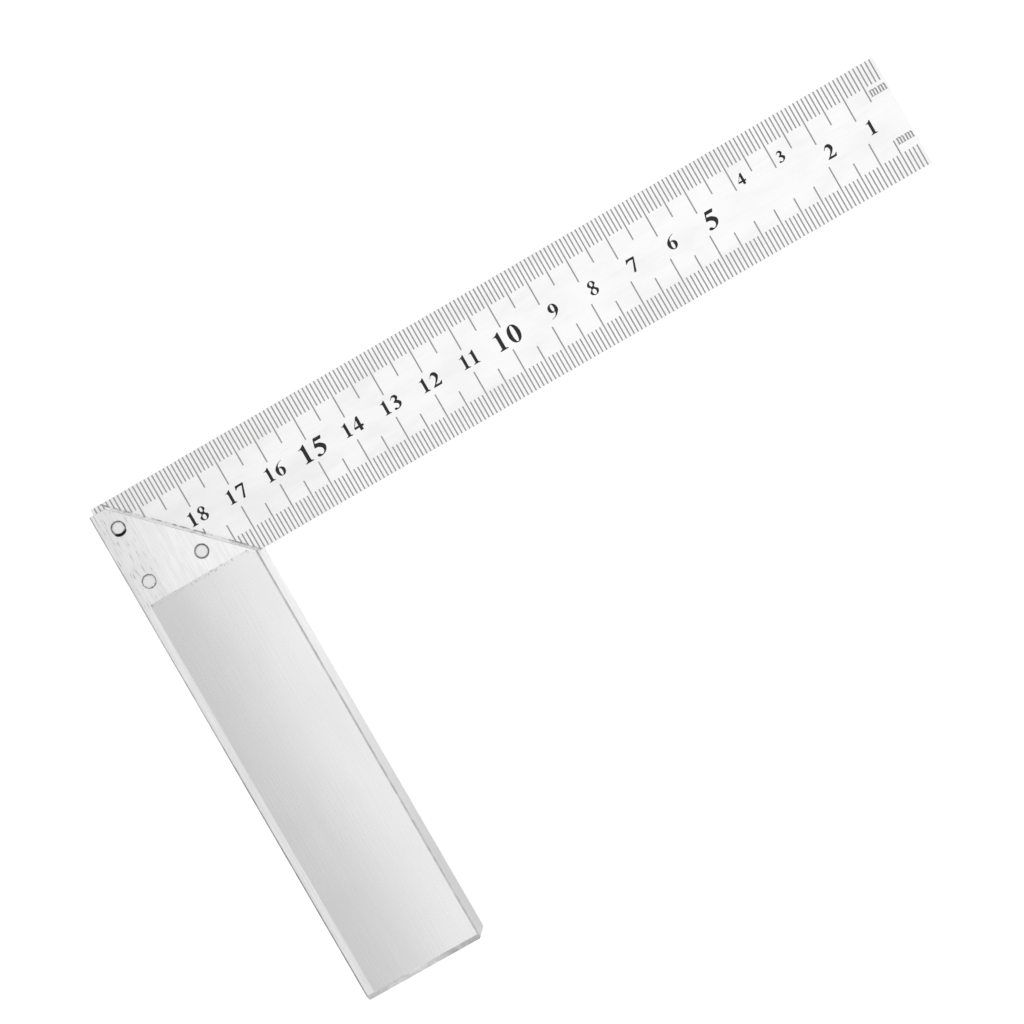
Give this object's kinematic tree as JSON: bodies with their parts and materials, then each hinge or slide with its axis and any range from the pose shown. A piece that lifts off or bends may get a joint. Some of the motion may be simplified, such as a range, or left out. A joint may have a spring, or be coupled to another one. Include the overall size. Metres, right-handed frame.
{
  "type": "try and mitre square",
  "caption": "Flat L-shaped marking square: graduated steel blade riveted square into an aluminium stock with a 45 degree head.",
  "frame": {"origin": "the inside corner of the square, where the stock's inner face meets the blade's inner edge, halfway through the blade's thickness", "axes": "+X along the blade to its free end, +Y across the blade to its outer edge with the stock along -Y, +Z normal to the blade, towards the side with the label plate"},
  "size_m": [0.2, 0.1261, 0.0121],
  "materials": {
    "blade_steel": "bright satin, lightly brushed along its length, dark graduations and numbers",
    "stock_aluminium": "coarsely ground along the stock",
    "plate_aluminium": "finely brushed along the stock, plain",
    "rivet_aluminium": "ground flush with the stock",
    "scale_ink": "thin black fill of the graduations and numbers"
  },
  "bodies": {
    "root": {"blade": "blade_steel", "stock": "stock_aluminium", "label_plate": "plate_aluminium", "rivet_outer": "rivet_aluminium", "rivet_heel": "rivet_aluminium", "rivet_inner": "rivet_aluminium"}
  },
  "joints": []
}
